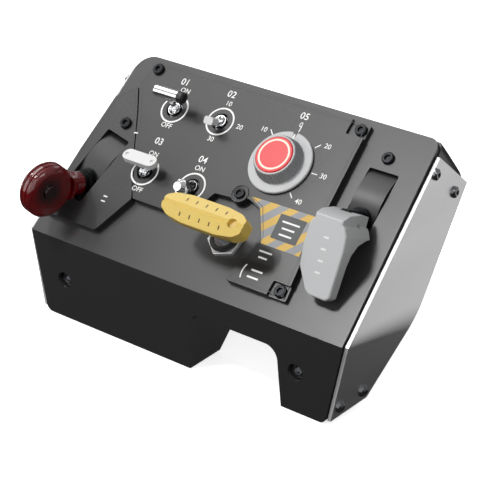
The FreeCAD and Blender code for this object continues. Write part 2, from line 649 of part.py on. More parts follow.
def make_selector_knob():
    u, v = KNOB
    shape = fused([disc(18.3, 4.4, 1.5, KNOB), cone(13.6, 11.5, 5.9, 7.6, KNOB)])
    shape = shape.cut(disc(KNOB_BORE, 8.6, 9, KNOB)).cut(disc(SHAFT_R, 4, 3.0, KNOB))
    shape = shape.cut(disc(STEM_R + 0.4, 3, 9, KNOB)).cut(box(u - 1.2, u + 1.2, v + 15.2, v + 20, 4, 7))
    return on_panel(shape)


def make_knob_button():
    shape = fused([disc(KNOB_BORE - 0.1, 10.4, 3.5, KNOB), disc(STEM_R, -10.6, 21.2, KNOB)])
    return on_panel(shape)


# ---- pull and turn T-handle
GUIDE_R, ROD_R, HANDLE_BASE, HANDLE_T = 6.0, 3.5, 22.0, 9.0


def make_brake_guide():
    shape = fused([disc(GUIDE_R, -10.6, 14.6, BRAKE), disc(8.0, -9.0, 6.0, BRAKE)])
    return on_panel(shape.cut(disc(ROD_R + RUN, -40, 60, BRAKE)))


def make_brake_nut():
    shape = hexagon(18.4, 0.0, 2.6, BRAKE, 20)
    return on_panel(shape.cut(disc(GUIDE_R, -1, 9, BRAKE)))


def make_brake_ring():
    return on_panel(fused([tube(8.6, GUIDE_R, 2.6, 1.2, BRAKE), tube(7.4, GUIDE_R, 3.8, 1.0, BRAKE)]))


def make_brake_shaft():
    rod = fused([disc(ROD_R, -36, HANDLE_BASE + 36 + 5.0, BRAKE), disc(5.2, -38.5, 2.5, BRAKE),
                 disc(4.6, HANDLE_BASE + 2.6, 2.0, BRAKE)])
    return on_panel(rod)


def make_brake_handle():
    b, t = HANDLE_BASE, HANDLE_T
    outline = [(-26.0, -3.6), (-21.5, -6.6), (-10.0, -8.2), (10.0, -8.2), (21.5, -6.6), (26.0, -3.6),
               (26.0, 3.6), (21.5, 6.6), (10.0, 8.2), (-10.0, 8.2), (-21.5, 6.6), (-26.0, 3.6)]
    body = rounded(outline, [2.5, 8, 20, 20, 8, 2.5, 2.5, 8, 20, 20, 8, 2.5], 0, t)
    roof = [(-7.0, 0), (7.0, 0), (9.0, 3.6), (8.0, 6.4), (1.2, t), (0, t - 0.7), (-1.2, t), (-8.0, 6.4),
            (-9.0, 3.6)]
    roof = Part.Face(Part.makePolygon([V(-40, y, z) for y, z in roof + roof[:1]])).extrude(V(80, 0, 0))
    shape = body.common(roof)
    shape = fused([shape, disc(6.0, -1.6, 4.0)])
    shape = shape.cut(disc(2.6, t - 2.4, 5, (19.0, 0)))
    shape = shape.cut(disc(ROD_R + RUN, -3, 8.4)).cut(disc(4.6 + RUN, 2.6 - RUN, 2.0 + 2 * RUN))
    shape.translate(V(BRAKE[0], BRAKE[1], b))
    return on_panel(shape)


# ---- electronics
BOARD_N = -33.0


def make_control_board():
    board = rounded([(-50, 47), (48, 47), (48, 104), (-50, 104)], 2.0, BOARD_N, 1.6)
    for u, v, w, h, t in ((-8, 66, 12, 12, 1.6), (-36, 58, 8, 5, 1.2), (30, 92, 9, 6, 2.2), (-30, 94, 16, 5, 5.0)):
        board = board.fuse(box(u, u + w, v, v + h, BOARD_N + 1.6, BOARD_N + 1.6 + t))
    for at in STANDOFFS:
        board = board.cut(disc(1.5, BOARD_N - 1, 4, at))
    return on_panel(board)


STANDOFFS = [(-45, 75), (43, 52), (43, 99), (-5, 99)]


def make_board_standoffs():
    out = []
    for at in STANDOFFS:
        post = hexagon(5.5, BOARD_N + 1.6, -PANEL_T - BOARD_N - 1.6, at)
        parts = [post, disc(1.5, BOARD_N - 0.2, 2.0, at), disc(2.8, BOARD_N - 2.0, 2.0, at)]
        out.append(on_panel(fused(parts)))
    return group(out)


def make_usb_socket():
    shape = usb_port(0.0)
    slope = math.degrees(REAR_SLOPE)
    hole = box(-4.5, 4.5, -1.7, 1.7, -7.0, 2.0)
    tongue = box(-3.4, 3.4, -0.4, 0.4, -7.0, -0.6)
    hole = hole.cut(tongue)
    hole.rotate(V(0, 0, 0), V(1, 0, 0), 90 + slope)
    hole.rotate(V(0, 0, 0), V(0, 0, 1), 180)
    x, z = USB_AT
    y = REAR_LOW[0] + (z + FRONT_HEIGHT) / math.tan(REAR_SLOPE)
    hole.translate(V(x, y - FOOT_CENTRE, z + FRONT_HEIGHT))
    return shape.cut(hole)


def build():
    nodes = {"front_panel": make_front_panel(), "rear_shell": make_rear_shell(),
             "side_plate_left": make_side_plate(-1), "side_plate_right": make_side_plate(1),
             "side_plate_screws": make_side_plate_screws(),
             "centre_plate": make_centre_plate(), "gear_bezel": make_bezel(),
             "plate_screws": group([panel_screw(*place) for place in PLATE_SCREWS]),
             "panel_screw": panel_screw(*PANEL_SCREW, 4.0),
             "front_screws": group([front_screw(x, z) for x, z in FRONT_SCREWS]),
             "wheel_bracket": make_bracket(WHEEL), "paddle_bracket": make_bracket(PADDLE),
             "bracket_screws": make_bracket_screws(), "lever_bushes": make_lever_bushes(),
             "lever_sensors": make_lever_sensors(),
             "wheel_drum": make_drum(WHEEL, ARM_R, ARM_OFF, 8.0, -72, 66), "wheel_axle": make_axle(WHEEL),
             "wheel_arm": make_wheel_arm(), "wheel_neck": make_wheel_neck(),
             "wheel_grip": make_wheel_grip(), "wheel_hub": make_wheel_hub(),
             "paddle_drum": make_drum(PADDLE, PADDLE_ARM_R, 0.0, 7.5, -66, 62),
             "paddle_axle": make_axle(PADDLE), "paddle_arm": make_paddle_arm(),
             "paddle_grip": make_paddle_grip(),
             "toggle_bodies": make_toggle_bodies(), "toggle_nuts": make_toggle_nuts(),
             "selector_body": make_selector_body(), "selector_nut": make_selector_nut(),
             "selector_shaft": make_selector_shaft(), "selector_knob": make_selector_knob(),
             "knob_button": make_knob_button(),
             "brake_guide": make_brake_guide(), "brake_nut": make_brake_nut(), "brake_ring": make_brake_ring(),
             "brake_shaft": make_brake_shaft(), "brake_handle": make_brake_handle(),
             "control_board": make_control_board(), "board_standoffs": make_board_standoffs(),
             "usb_socket": make_usb_socket()}
    nodes["bar_toggle_lever"], nodes["bar_toggle_bar"], nodes["bar_toggle_cap"] = make_bar_toggle()
    nodes["tab_toggle_lever"], nodes["tab_toggle_tip"] = make_tab_toggle()
    nodes["flat_toggle_lever"], nodes["flat_toggle_paddle"] = make_paddle_toggle()
    nodes["bat_toggle_lever"], nodes["bat_toggle_tip"] = make_bat_toggle()
    return nodes


os.makedirs("parts", exist_ok=True)
for name, shape in build().items():
    if not shape.isValid():
        print("not valid:", name)
    print(name, len(shape.Solids), round(shape.Volume, 1))
    shape.exportStep("parts/" + name + ".step")
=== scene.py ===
"""Looks of the flight control panel: softened edges, printed marks, materials and studio light.
Lengths of the part are in millimetres and become metres by MM; the studio's own are in metres."""

import json
import math

import bmesh
import bpy
from mathutils import Matrix, Vector


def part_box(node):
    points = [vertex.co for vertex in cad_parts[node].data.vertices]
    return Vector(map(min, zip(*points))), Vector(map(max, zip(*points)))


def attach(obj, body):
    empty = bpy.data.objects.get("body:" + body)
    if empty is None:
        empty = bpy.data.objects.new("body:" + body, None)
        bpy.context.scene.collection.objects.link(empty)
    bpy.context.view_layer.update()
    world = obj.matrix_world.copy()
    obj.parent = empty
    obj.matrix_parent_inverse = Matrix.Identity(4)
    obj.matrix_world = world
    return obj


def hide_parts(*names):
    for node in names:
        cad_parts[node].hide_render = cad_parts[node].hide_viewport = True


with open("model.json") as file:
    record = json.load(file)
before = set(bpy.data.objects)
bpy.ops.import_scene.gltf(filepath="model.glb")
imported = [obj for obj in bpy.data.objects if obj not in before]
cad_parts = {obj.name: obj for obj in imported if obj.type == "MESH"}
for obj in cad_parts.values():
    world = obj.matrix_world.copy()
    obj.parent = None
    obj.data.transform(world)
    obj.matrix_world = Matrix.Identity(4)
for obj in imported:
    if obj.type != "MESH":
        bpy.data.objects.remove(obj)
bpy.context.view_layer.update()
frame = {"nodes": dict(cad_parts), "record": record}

MM = 0.001
TILT = math.radians(40.44)          # slope of the panel
BEND = Vector((0.0, -16.0, 47.7))   # middle of the bend between panel and upright front
PLATE = 4.0                         # top of the raised plates above the panel
PRINT = 0.03                        # printed marks, and the lines of painted shade in the plates' grooves, stand this far off their face
BODY_OF = {n: b for b, nodes in frame["record"]["behaviour"]["bodies"].items() for n in nodes}
SLOT_OF = {s["node"]: s["material_slot"] for s in frame["record"]["subparts"]}
KNOB = (23.0, 80.0)                 # centre of the rotary knob, (u, v)
TOGGLES = {"bar": (-56.8, 91.1), "tab": (-25.4, 92.1), "flat": (-53.0, 51.6), "bat": (-20.5, 51.7)}
CLOUD = 26.0                        # size of the broad patches in every finish, in mm
BUMP = 0.35                         # strength of the fine grain where a finish has one


# ---------------------------------------------------------------- materials
def colour(text):
    """sRGB hex to the linear values that Blender works in."""
    parts = [int(text[i:i + 2], 16) / 255 for i in (1, 3, 5)]
    return [c / 12.92 if c <= 0.04045 else ((c + 0.055) / 1.055) ** 2.4 for c in parts] + [1.0]


def node(tree, kind, inputs=None, **settings):
    """One shader node with its settings and socket values or links."""
    made = tree.nodes.new(kind)
    for key, value in settings.items():
        setattr(made, key, value)
    for key, value in (inputs or {}).items():
        if isinstance(value, bpy.types.NodeSocket):
            tree.links.new(value, made.inputs[key])
        else:
            made.inputs[key].default_value = value
    return made


def material(name, base, rough, metal=0.0, grain=0.5, depth=0.0, tint=0.06, stretch=(1, 1, 1),
             wear=0.08, **extra):
    """Surface with broad patches in colour and roughness, and a fine grain in colour and height.
    Grain and depth are in mm, tint is the share of colour and wear the roughness that vary."""
    made = bpy.data.materials.new(name)
    made.use_nodes = True
    tree = made.node_tree
    shader = tree.nodes["Principled BSDF"]
    where = node(tree, "ShaderNodeTexCoord").outputs["Object"]
    place = node(tree, "ShaderNodeMapping", {"Vector": where, "Scale": stretch}).outputs["Vector"]
    fine = node(tree, "ShaderNodeTexNoise", {"Vector": place, "Scale": 1 / (grain * MM), "Detail": 3.0})
    broad = node(tree, "ShaderNodeTexNoise", {"Vector": place, "Scale": 1 / (CLOUD * MM), "Detail": 4.0})
    plain = colour(base)
    darker = [c * (1 - tint * 2) for c in plain[:3]] + [1]
    lighter = [min(1, c * (1 + tint * 2)) for c in plain[:3]] + [1]
    mix = node(tree, "ShaderNodeMix", {"Factor": broad.outputs["Fac"], "A": plain, "B": darker},
               data_type="RGBA")
    speck = node(tree, "ShaderNodeMix", {"Factor": fine.outputs["Fac"], "A": mix.outputs["Result"],
                                         "B": lighter}, data_type="RGBA")
    tree.links.new(speck.outputs["Result"], shader.inputs["Base Color"])
    ramp = node(tree, "ShaderNodeMapRange", {"Value": broad.outputs["Fac"],
                                             "To Min": max(0.02, rough - wear),
                                             "To Max": min(1, rough + wear)})
    tree.links.new(ramp.outputs["Result"], shader.inputs["Roughness"])
    shader.inputs["Metallic"].default_value = metal
    if depth:
        bump = node(tree, "ShaderNodeBump", {"Height": fine.outputs["Fac"], "Strength": BUMP,
                                             "Distance": depth * MM})
        tree.links.new(bump.outputs["Normal"], shader.inputs["Normal"])
    for key, value in extra.items():
        shader.inputs[key.replace("_", " ")].default_value = value
    return made


# the grain of the metals and inks is finer than this on real ones, and drawn coarser so that it shows
MATERIALS = {
    # powder-coated sheet: an even satin black, with a low grain on the big faces
    "painted_black": material("painted_black", "#272727", 0.33, grain=0.6, depth=0.008, wear=0.03),
    "panel_grey": material("panel_grey", "#202020", 0.28, grain=0.6, depth=0.006, wear=0.03),
    # anodised aluminium sheet: a fine grain drawn out along y, and a soft mirror
    "satin_aluminium": material("satin_aluminium", "#cfcfcf", 0.34, metal=1.0, grain=0.25, depth=0.004,
                                stretch=(1, 0.06, 1), tint=0.03),
    # rim of that sheet, drawn light grey: a painted highlight that makes a bright line
    "rim_highlight": material("rim_highlight", "#c4c4c4", 0.35, metal=0.3, grain=0.3, tint=0.02),
    # black zinc on screw steel: dark, with a satin shine
    "dark_screw": material("dark_screw", "#232426", 0.30, metal=0.9, grain=0.3, depth=0.01),
    # turned steel: a plain grey metal
    "steel": material("steel", "#8f9194", 0.28, metal=1.0, grain=0.3, tint=0.03),
    # polished chrome plate: a sharp mirror with small bright lights
    "chrome": material("chrome", "#f0f1f2", 0.12, metal=1.0, grain=0.8, tint=0.02, wear=0.03),
    # brightly plated nut: rougher than chrome, so its flats stay light all round
    "bright_nut": material("bright_nut", "#f0f0f0", 0.30, metal=0.75, grain=0.3, tint=0.02),
    # black chrome on screws and nuts: a darker mirror than chrome
    "chrome_screw": material("chrome_screw", "#8c8d90", 0.14, metal=1.0, grain=0.3, tint=0.03),
    "dark_chrome": material("dark_chrome", "#5a5b5e", 0.18, metal=1.0, grain=0.3, tint=0.03),
    # moulded nylon, nearly black: a dull shine
    "black_plastic": material("black_plastic", "#141516", 0.38, grain=0.4, depth=0.01),
    # clear acrylic, dark red and polished: some light goes in and comes back deep red
    "red_translucent": material("red_translucent", "#6e090e", 0.12, grain=1.2, wear=0.05, Coat_Weight=1.0,
                                Transmission_Weight=0.30, Subsurface_Weight=0.08),
    # moulded ABS: a plain matt grey, and a darker one on the knob's ridged skirt
    "light_grey": material("light_grey", "#b4b5b6", 0.42, grain=0.5, depth=0.01, tint=0.02),
    "knob_skirt": material("knob_skirt", "#8d8e90", 0.45, grain=0.4, depth=0.01, tint=0.03),
    # moulded ABS with a thin gloss: small clear lights on its edges
    "red_button": material("red_button", "#d4141f", 0.30, grain=0.8, tint=0.02, Coat_Weight=0.2),
    "white_plastic": material("white_plastic", "#c6c6c6", 0.22, grain=0.6, tint=0.02, Coat_Weight=0.3),
    # moulded ABS, dyed through: a soft yellow with a low sheen
    "yellow": material("yellow", "#d0b256", 0.30, grain=0.6, depth=0.01, tint=0.05,
                       Subsurface_Weight=0.05),
    # solder mask on the circuit board, and turned brass
    "board_green": material("board_green", "#1f4a34", 0.4, grain=0.6),
    "brass": material("brass", "#b59a55", 0.3, metal=1.0, grain=0.3),
    # screen-printed inks: rougher than what they lie on, so they stay matt where it shines
    "ink_white": material("ink_white", "#e8e8e6", 0.55, grain=0.25, tint=0.03),
    "ink_yellow": material("ink_yellow", "#c9a23a", 0.5, grain=0.3, tint=0.05),
    "ink_grey": material("ink_grey", "#85888c", 0.5, grain=0.3, tint=0.05),
    "ink_dark": material("ink_dark", "#333537", 0.5, grain=0.3),
    # black ink of the printed patch, also used as painted shade: the lines in the plates' grooves and the
    # disc in the screw boss's recess
    "black_print_and_shade": material("black_print_and_shade", "#0c0c0d", 0.45, grain=0.3),
    "ink_brown": material("ink_brown", "#4a3510", 0.5, grain=0.3),
    "print_pale": material("print_pale", "#dcdcdc", 0.5, grain=0.3),
    "cream": material("cream", "#f1d9c8", 0.4, grain=0.5, tint=0.02),
}


def shade_to_centre(name, centre, inner, outer, dark):
    """Colour that turns dark towards a centre: painted shade that stands in for the dimmer light deep in
    clear plastic; lengths in metres.
    """
    tree = MATERIALS[name].node_tree
    shader = tree.nodes["Principled BSDF"]
    plain = shader.inputs["Base Color"].links[0].from_socket
    here = node(tree, "ShaderNodeTexCoord").outputs["Object"]
    where = node(tree, "ShaderNodeVectorMath", {0: here, 1: centre}, operation="DISTANCE")
    share = node(tree, "ShaderNodeMapRange", {"Value": where.outputs["Value"], "From Min": inner,
                                              "From Max": outer}, interpolation_type="SMOOTHSTEP")
    mix = node(tree, "ShaderNodeMix", {"Factor": share.outputs["Result"], "A": colour(dark), "B": plain},
               data_type="RGBA")
    tree.links.new(mix.outputs["Result"], shader.inputs["Base Color"])


# the red wheel is painted darker towards its middle, painted shade inside the clear plastic; its rim keeps
# the plain red
wheel_low, wheel_high = (Vector(v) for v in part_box("wheel_grip"))
WHEEL_CORE, WHEEL_RIM = 4.0 * MM, 16.5 * MM
shade_to_centre("red_translucent", (wheel_low + wheel_high) / 2, WHEEL_CORE, WHEEL_RIM, "#140307")


# ---------------------------------------------------------------- placing
def on_panel(u, v, n):
    """Point of the sloping panel: u across, v up the slope, n out of it."""
    c, s = math.cos(TILT), math.sin(TILT)
    return (Vector((u, c * v - s * n, s * v + c * n)) + BEND) * MM


def finish_mesh(name, bm, look, body="housing", smooth=30):
    """Mesh object from bm with its look and body."""
    bmesh.ops.recalc_face_normals(bm, faces=bm.faces[:])
    mesh = bpy.data.meshes.new(name)
    bm.to_mesh(mesh)
    bm.free()
    obj = bpy.data.objects.new(name, mesh)
    bpy.context.scene.collection.objects.link(obj)
    mesh.materials.append(MATERIALS[look])
    mesh.shade_smooth()
    mesh.set_sharp_from_angle(angle=math.radians(smooth))
    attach(obj, body)
    return obj


EDGE_STEPS, EDGE_ANGLE = 2, 33      # a softened edge's segments, and the degrees from which it is one
FOLD_STEPS, FOLD_LEAST, FOLD_MOST = 8, 0.08, 1.0    # a fold's segments, and its angles in radians
WIDE_FACE = 4e-4                    # a face of this many square metres is one of the sheet's main ones


def soften(name, width, look=None, bend=0.0):
    """CAD piece again with its hard edges rounded, so that they catch the light; bend is in mm."""
    source = frame["nodes"][name]
    bm = bmesh.new()
    bm.from_mesh(source.data)
    bm.transform(source.matrix_world)
    bmesh.ops.remove_doubles(bm, verts=bm.verts[:], dist=0.002 * MM)
    bmesh.ops.dissolve_limit(bm, angle_limit=math.radians(0.6), verts=bm.verts[:], edges=bm.edges[:])
    if bend:
        # a folded sheet has no sharp line: the fold between its two main faces gets a wide round
        folds = [e for e in bm.edges
                 if len(e.link_faces) == 2 and FOLD_LEAST < e.calc_face_angle(0) < FOLD_MOST
                 and all(abs(f.normal.x) > 0.6 and f.calc_area() > WIDE_FACE for f in e.link_faces)]
        bmesh.ops.bevel(bm, geom=folds, offset=bend * MM, segments=FOLD_STEPS, profile=0.5,
                        affect="EDGES", material=-1)
    obj = finish_mesh(name + "_soft", bm, look or SLOT_OF[name], BODY_OF[name], 38)
    bevel = obj.modifiers.new("soft_edges", "BEVEL")
    bevel.width, bevel.segments, bevel.limit_method = width * MM, EDGE_STEPS, "ANGLE"
    bevel.angle_limit = math.radians(EDGE_ANGLE)
    weighted = obj.modifiers.new("flat_faces", "WEIGHTED_NORMAL")
    weighted.mode, weighted.weight, weighted.keep_sharp = "FACE_AREA", 100, True
    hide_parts(name)
    return obj


def prints_and_shade(name, patches, look, n=PLATE, body="housing"):
    """One flat piece of printed marks and painted shade alike, from patches of (u, v) corners; a patch of
    fewer than three is left out.
    """
    bm = bmesh.new()
    for points in patches:
        if len(points) > 2:
            bm.faces.new([bm.verts.new(on_panel(u, v, n + PRINT)) for u, v in points])
    finish_mesh(name, bm, look, body)


def arc_band(centre, r0, r1, start, stop, steps=48):
    """Band between two radii; angles in degrees, clockwise from straight up the slope."""
    quads = []
    for i in range(steps):
        a, b = (math.radians(start + (stop - start) * (i + k) / steps) for k in (0, 1))
        quads.append([(centre[0] + r * math.sin(t), centre[1] + r * math.cos(t))
                      for r, t in ((r0, a), (r1, a), (r1, b), (r0, b))])
    return quads


def bar(u, v, length, width, turn=0.0):
    """Corners of a bar round (u, v), turned anticlockwise by so many degrees."""
    c, s = math.cos(math.radians(turn)), math.sin(math.radians(turn))
    corners = [(-length / 2, -width / 2), (length / 2, -width / 2), (length / 2, width / 2),
               (-length / 2, width / 2)]
    return [(u + x * c - y * s, v + x * s + y * c) for x, y in corners]


CAPITAL, BOLD = 1.38, 0.012         # font size and thickening for a capital of height 1


def lettering(name, words):
    """Plain numbers, ON and OFF on the raised plates; words holds (text, u, v, height)."""
    bm = bmesh.new()
    for text, u, v, size in words:
        curve = bpy.data.curves.new(name, "FONT")
        curve.body, curve.size = text, size * CAPITAL
        curve.align_x, curve.align_y = "CENTER", "CENTER"
        curve.resolution_u = 3
        curve.offset = size * BOLD
        temporary = bpy.data.objects.new(name, curve)
        mesh = bpy.data.meshes.new_from_object(temporary)
        for vert in mesh.vertices:
            vert.co = on_panel(u + vert.co.x, v + vert.co.y, PLATE + PRINT)
        bm.from_mesh(mesh)
        bpy.data.objects.remove(temporary)
    finish_mesh(name, bm, "ink_white")


def clipped(polygon, region):
    """Part of a polygon inside a convex region (both lists of corners, anticlockwise)."""
    out = polygon
    for i, a in enumerate(region):
        b = region[(i + 1) % len(region)]
        edge = (b[0] - a[0], b[1] - a[1])
        side = [edge[0] * (p[1] - a[1]) - edge[1] * (p[0] - a[0]) for p in out]
        kept = []
        for j, p in enumerate(out):
            q, sp, sq = out[(j + 1) % len(out)], side[j], side[(j + 1) % len(out)]
            if sp >= 0:
                kept.append(p)
            if sp * sq < 0:
                t = sp / (sp - sq)
                kept.append((p[0] + (q[0] - p[0]) * t, p[1] + (q[1] - p[1]) * t))
        out = kept
        if not out:
            break
    return out


# ---------------------------------------------------------------- softened CAD pieces
# width of each softened edge
SOFT = {"front_panel": 0.7, "rear_shell": 0.6, "side_plate_left": 0.5, "side_plate_right": 0.5,
        "centre_plate": 0.5, "gear_bezel": 0.5, "plate_screws": 0.2, "panel_screw": 0.2,
        "side_plate_screws": 0.2, "front_screws": 0.2, "wheel_drum": 0.3, "paddle_drum": 0.3,
        "wheel_arm": 0.3, "wheel_neck": 0.4, "wheel_hub": 0.3, "wheel_grip": 0.3, "paddle_arm": 0.3,
        "paddle_grip": 0.7, "brake_handle": 0.3, "brake_nut": 0.3, "brake_ring": 0.2,
        "knob_button": 0.5, "bar_toggle_cap": 0.3, "tab_toggle_tip": 0.4,
        "flat_toggle_paddle": 0.6, "bat_toggle_tip": 0.25, "toggle_nuts": 0.15}
LOOK_OF = {"brake_nut": "bright_nut", "front_screws": "chrome_screw",
           "side_plate_screws": "chrome_screw", "toggle_nuts": "dark_chrome"}
FOLD = 7.0                          # width of the side plates' rounded fold
RIM_TILT = 0.3                      # a side plate's face that looks less sideways than this is its rim
for piece, width in SOFT.items():
    sheet = piece in ("side_plate_left", "side_plate_right")
    softened = soften(piece, width, LOOK_OF.get(piece), bend=FOLD if sheet else 0.0)
    if sheet:
        # the rim is drawn light grey, a painted highlight that makes a bright line beside the panel
        softened.data.materials.append(MATERIALS["rim_highlight"])
        for face in softened.data.polygons:
            face.material_index = int(abs(face.normal.x) < RIM_TILT)
# the other CAD pieces keep their mesh and take the look of their slot
for name, obj in frame["nodes"].items():
    if name not in SOFT and name != "selector_knob":
        obj.data.materials.clear()
        obj.data.materials.append(MATERIALS[SLOT_OF[name]])


# ---------------------------------------------------------------- turned pieces
def ring(bm, centre, radii, n):
    """Ring of vertices at height n, one for each radius, clockwise from straight up the slope."""
    out = []
    for i, r in enumerate(radii):
        a = 2 * math.pi * i / len(radii)
        out.append(bm.verts.new(on_panel(centre[0] + r * math.sin(a), centre[1] + r * math.cos(a), n)))
    return out


def skin(bm, rings):
    """Faces between each ring of vertices and the next."""
    for low, high in zip(rings, rings[1:]):
        for i in range(len(low)):
            j = (i + 1) % len(low)
            bm.faces.new((low[i], low[j], high[j], high[i]))


RIDGES = 46
AROUND = RIDGES * 8                 # eight vertices to a ridge
FLANGE = 17.0                       # rings wider than this belong to the flange and carry the notch
NOTCH_HALF, NOTCH_DEPTH = 0.065, 2.6    # sine of half the notch's angle, and its depth
SKIRT_FOOT, SKIRT_TOP = 6.05, 13.3  # heights between which the knob is the darker grey
# (radius, height, ridge) up the outside, over the rim and down into the bore of the button
KNOB_PROFILE = [(9.6, 4.4, 0.0), (18.1, 4.4, 0.0), (18.35, 4.65, 0.0), (18.35, 5.5, 0.0),
                (17.95, 5.9, 0.0), (14.4, 5.95, 0.0), (13.4, 6.1, 0.0), (13.1, 6.6, 0.75),
                (11.6, 12.7, 0.62), (11.6, 13.2, 0.2), (11.35, 13.5, 0.0), (10.8, 13.5, 0.0),
                (10.7, 13.35, 0.0), (10.7, 8.6, 0.0), (9.6, 8.6, 0.0)]


def knob_radii(radius, ridge):
    """Radii round one ring of the knob, with its ridges or the flange's notch."""
    radii = []
    for i in range(AROUND):
        a = 2 * math.pi * i / AROUND
        r = radius + ridge * max(0.0, math.sin(RIDGES * a)) ** 0.7
        if radius > FLANGE and abs(math.sin(a)) < NOTCH_HALF and math.cos(a) > 0:
            r -= NOTCH_DEPTH
        radii.append(r)
    return radii


def make_knob():
    """Wide flange with a notch, a conical skirt with upright ridges and a thin rim."""
    bm = bmesh.new()
    rings = [ring(bm, KNOB, knob_radii(radius, ridge), n) for radius, n, ridge in KNOB_PROFILE]
    skin(bm, rings + rings[:1])
    knob = finish_mesh("knob", bm, "light_grey", "selector", 40)
    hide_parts("selector_knob")
    knob.data.materials.append(MATERIALS["knob_skirt"])
    level = Matrix.Rotation(-TILT, 4, "X")
    for face in knob.data.polygons:
        height = (level @ (face.center / MM - BEND)).z
        if SKIRT_FOOT < height < SKIRT_TOP:
            face.material_index = 1


def turned(name, centre, profile, look, around=40):
    """Turned piece standing square to the panel; profile lists (radius, n) from the foot up."""
    bm = bmesh.new()
    skin(bm, [ring(bm, centre, [radius] * around, n) for radius, n in profile])
    finish_mesh(name, bm, look)


make_knob()
BOSS = (9.4, 56.9)                  # small socket screw in its round boss, (u, v)
turned("boss_wall", BOSS, [(5.3, 0.2), (5.3, PLATE + 0.3), (5.1, PLATE + 0.5), (4.6, PLATE + 0.5),
                           (4.5, PLATE + 0.4), (4.5, PLATE + 0.05), (0.01, PLATE + 0.05)], "panel_grey")
# black disc on the boss's floor round the screw: painted shade in the recess
turned("boss_recess_shade", BOSS, [(4.45, PLATE + 0.08), (0.01, PLATE + 0.08)], "black_print_and_shade")
turned("boss_screw", BOSS, [(3.0, PLATE + 0.1), (3.0, PLATE + 1.1), (2.75, PLATE + 1.35),
                            (1.7, PLATE + 1.35), (1.5, PLATE + 1.2), (1.5, PLATE + 0.4),
                            (0.01, PLATE + 0.4)], "dark_screw", around=30)


# ---------------------------------------------------------------- printed marks, and painted shade in the plates' grooves
def inset_line(outline, inset, width):
    """Thin line that runs inside an outline, one quad to each side of it."""
    def moved(distance):
        """The outline's corners, moved inwards by the distance."""
        area = sum(a[0] * b[1] - b[0] * a[1] for a, b in zip(outline, outline[1:] + outline[:1]))
        sign = 1 if area > 0 else -1
        out = []
        for i, here in enumerate(outline):
            before, after = Vector(outline[i - 1]), Vector(outline[(i + 1) % len(outline)])
            a = (Vector(here) - before).normalized()
            b = (after - Vector(here)).normalized()
            na, nb = Vector((-a.y, a.x)) * sign, Vector((-b.y, b.x)) * sign
            out.append(Vector(here) + (na + nb) * distance / (1 + na.dot(nb)))
        return out
    near, far = moved(inset), moved(inset + width)
    ends = [(i, (i + 1) % len(near)) for i in range(len(near))]
    return [[near[i], near[j], far[j], far[i]] for i, j in ends]


def face_marks(name, piece, toward, along, count, pitch, size, look):
    """Row of short bars on the flat of a piece that looks toward a direction; sizes in mm."""
    flats = {}
    for face in frame["nodes"][piece].data.polygons:
        if face.normal.dot(toward) > 0.8:
            flats.setdefault(tuple(round(c, 2) for c in face.normal), []).append(face)
    widest = max(flats.values(), key=lambda faces: sum(f.area for f in faces))
    total = sum(f.area for f in widest)
    middle = sum((f.center * f.area for f in widest), Vector()) / total
    out = sum((f.normal * f.area for f in widest), Vector()).normalized()
    row = (along - out * along.dot(out)).normalized()
    across = out.cross(row)
    bm = bmesh.new()
    for i in range(count):
        spot = middle + row * ((i - (count - 1) / 2) * pitch * MM) + out * (PRINT * MM)
        corners = [(-1, -1), (1, -1), (1, 1), (-1, 1)]
        bm.faces.new([bm.verts.new(spot + across * (x * size[0] / 2 * MM) + row * (y * size[1] / 2 * MM))
                      for x, y in corners])
    finish_mesh(name, bm, look, BODY_OF[piece])


SLOPE_OUT = Vector((0, -math.sin(TILT), math.cos(TILT)))
SLOPE_UP = Vector((0, math.cos(TILT), math.sin(TILT)))
ACROSS = Vector((1, 0, 0))
face_marks("paddle_marks", "paddle_grip", SLOPE_OUT, SLOPE_UP, 4, 6.0, (3.0, 1.0), "print_pale")
for side, lean in (("upper", 0.45), ("lower", -0.45)):
    face_marks("handle_marks_" + side, "brake_handle", (SLOPE_OUT + SLOPE_UP * lean).normalized(),
               ACROSS, 5, 6.4, (2.2, 0.8), "ink_brown")
CENTRE_OUTLINE = [(-87.0, 106.2), (-80.5, 115.6), (60.2, 115.6), (60.4, 100.0), (62.4, 40.0), (65.3, 10.8),
                  (26.7, 10.8), (33.5, 31.0), (33.5, 38.5), (25.0, 52.5), (15.8, 56.0), (4.7, 53.5),
                  (-5.1, 52.8), (-8.5, 46.2), (-3.5, 34.9), (-51.2, 34.9), (-68.6, 65.0), (-78.0, 83.0),
                  (-87.6, 99.3)]
BEZEL_OUTLINE = [(-98.0, 88.2), (-87.9, 98.2), (-78.3, 82.0), (-69.0, 64.3), (-51.8, 34.5), (-63.0, 11.0),
                 (-102.4, 11.0), (-100.9, 52.0)]
# painted shade of the engraved groove along each plate's rim, drawn as a dark line: how far in it runs,
# and its width
CENTRE_LINE, BEZEL_LINE = (1.7, 0.35), (1.5, 0.3)
prints_and_shade("groove_shade_lines", inset_line(CENTRE_OUTLINE, *CENTRE_LINE) + inset_line(BEZEL_OUTLINE, *BEZEL_LINE),
       "black_print_and_shade")
TOGGLE_RING = (7.6, 8.6)            # inner and outer radius of the white ring round each toggle
rings = []
for centre in TOGGLES.values():
    rings += arc_band(centre, *TOGGLE_RING, 0, 360, 64)
prints_and_shade("toggle_rings", rings, "ink_white")
TICK_RADIUS = 21.4
ticks = []
for angle in (-45, 0, 45, 90, 135):
    a = math.radians(angle)
    ticks.append(bar(KNOB[0] + TICK_RADIUS * math.sin(a), KNOB[1] + TICK_RADIUS * math.cos(a), 3.6, 0.6,
                     90 - angle))
prints_and_shade("knob_ticks", ticks, "ink_white")
BIG, SMALL = 4.1, 3.0               # heights of the switches' numbers and of the words at their positions
